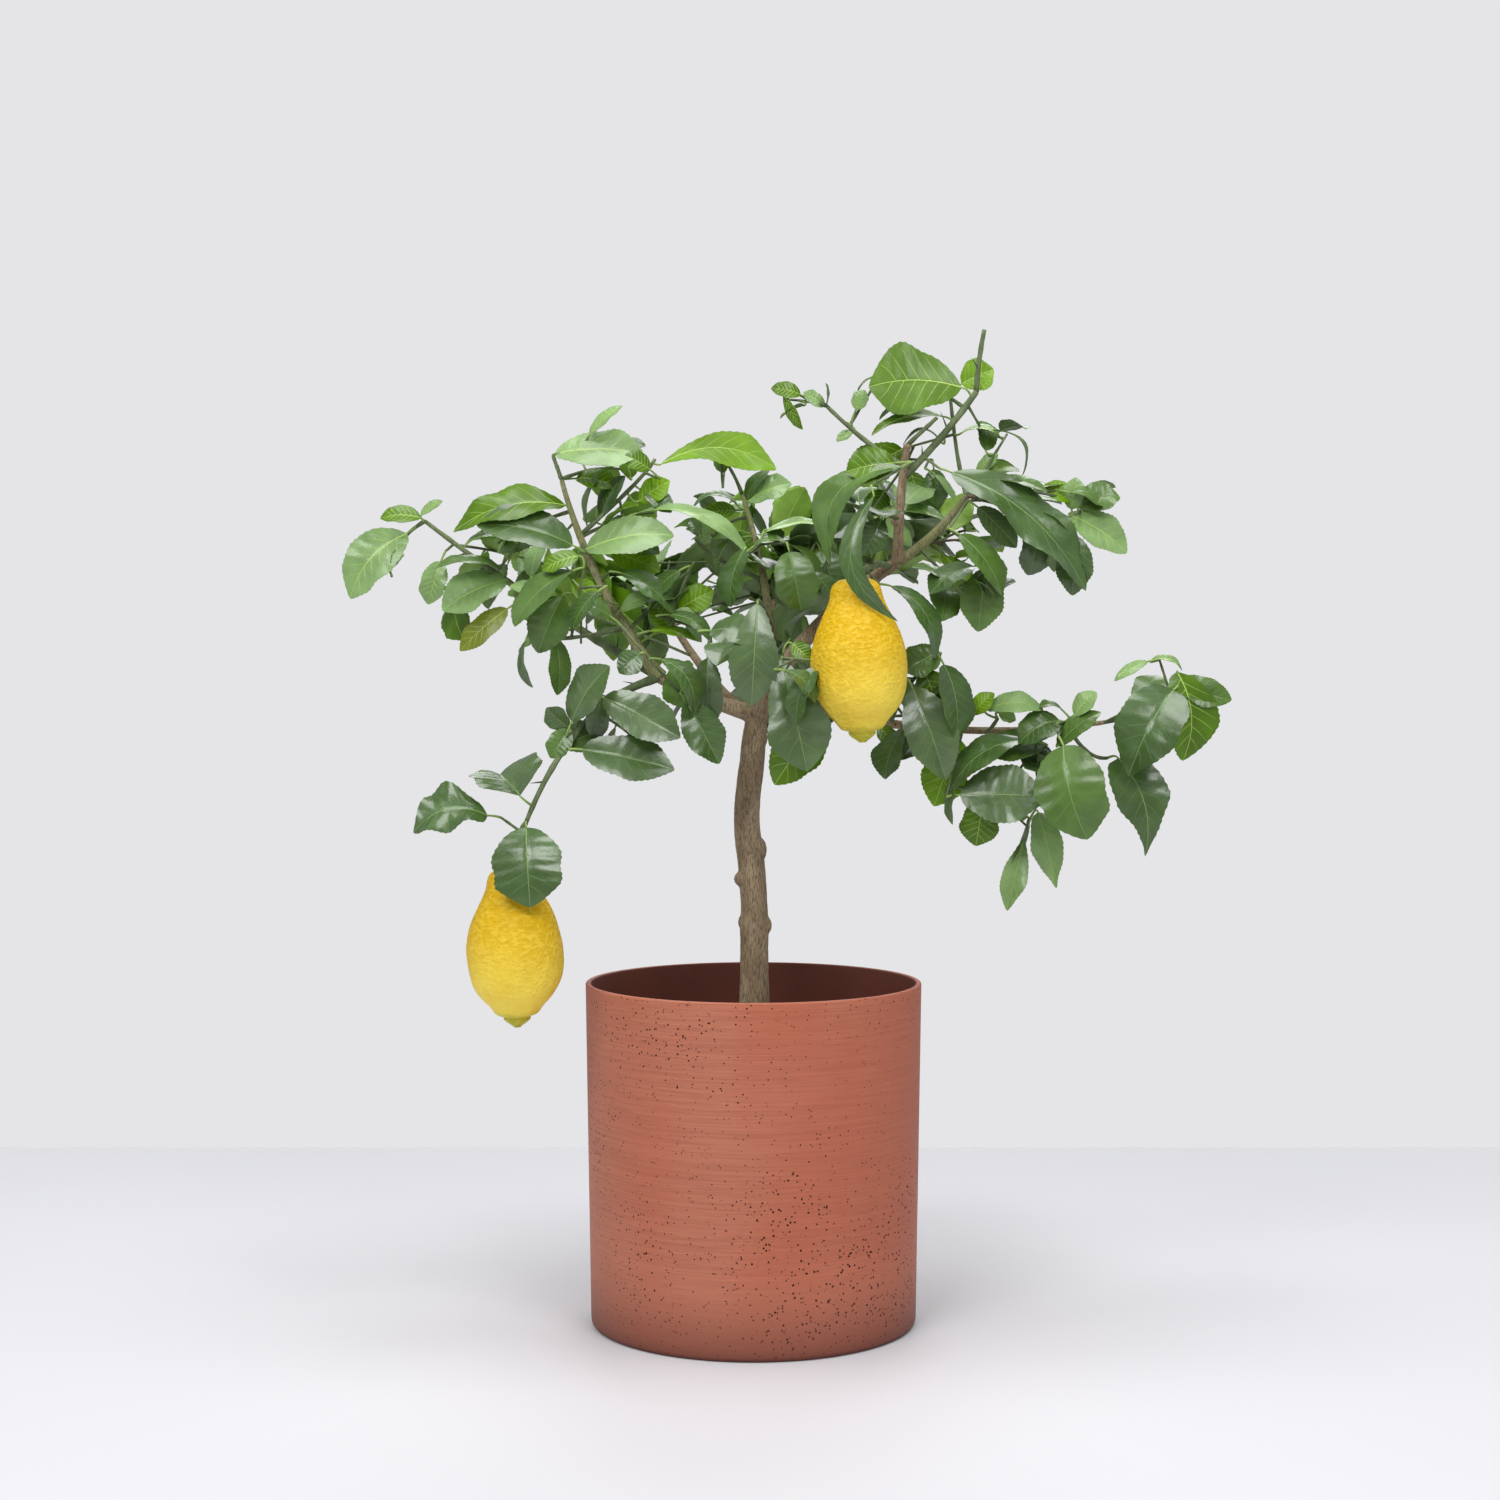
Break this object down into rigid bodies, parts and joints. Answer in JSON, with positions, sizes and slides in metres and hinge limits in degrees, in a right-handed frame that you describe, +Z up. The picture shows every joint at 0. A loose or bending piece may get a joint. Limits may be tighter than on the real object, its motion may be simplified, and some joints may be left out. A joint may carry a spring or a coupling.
{
  "type": "potted lemon tree",
  "caption": "Young lemon tree with a slightly crooked bare trunk, a wide open crown and ripe hanging fruit, growing in a plain straight-sided round pot.",
  "frame": {"origin": "centre of the pot's flat underside, where it stands", "axes": "+Z up along the pot's axis, -Y towards the tree's front, +X to the side where the low bough reaches out furthest"},
  "size_m": [0.6069, 0.3176, 0.6771],
  "materials": {
    "pot": "rust-red fired clay with fine brushing and small pits, satin",
    "soil": "dark crumbly potting soil, matte",
    "bark": "grey-brown finely fissured bark, matte",
    "green_bark": "green young bark, satin",
    "leaves": "glossy dark green leaves",
    "young_leaves": "glossy light green young leaves"
  },
  "bodies": {
    "root": {"pot": "pot", "soil": "soil", "trunk": "bark", "left_bough": "bark", "far_left_bough": "green_bark", "upper_left_bough": "bark", "low_left_bough": "green_bark", "right_bough": "bark", "centre_bough": "bark", "pruned_stub": "bark", "upper_right_bough": "bark", "top_bough": "green_bark", "top_tip": "green_bark", "top_left_bough": "green_bark", "low_right_bough": "bark", "back_left_bough": "bark", "back_bough": "bark", "back_right_bough": "bark", "far_left_tip": "young_leaves", "far_left": "leaves", "left_shoulder": "young_leaves", "left_crest": "leaves", "bright_leaf": "young_leaves", "left_upper": "leaves", "left_mid": "leaves", "left_inner": "leaves", "left_low": "leaves", "left_heart": "leaves", "left_lemon_leaves": "leaves", "left_lemon": "leaves", "centre_top": "leaves", "centre": "leaves", "fork_front": "leaves", "trunk_front": "leaves", "right_lemon": "leaves", "lemon_arch": "leaves", "top_left": "young_leaves", "top": "young_leaves", "right_heart": "leaves", "right_crest": "leaves", "right_shoulder": "leaves", "far_right_high": "young_leaves", "right_mid": "leaves", "right_low_inner": "leaves", "right_low": "leaves", "right_hanging": "leaves", "far_right": "leaves", "far_right_drop": "leaves", "back_left": "leaves", "back_centre": "leaves", "back_right": "leaves", "back_low": "leaves", "back_far_left": "leaves", "back_far_right": "leaves"}
  },
  "joints": []
}
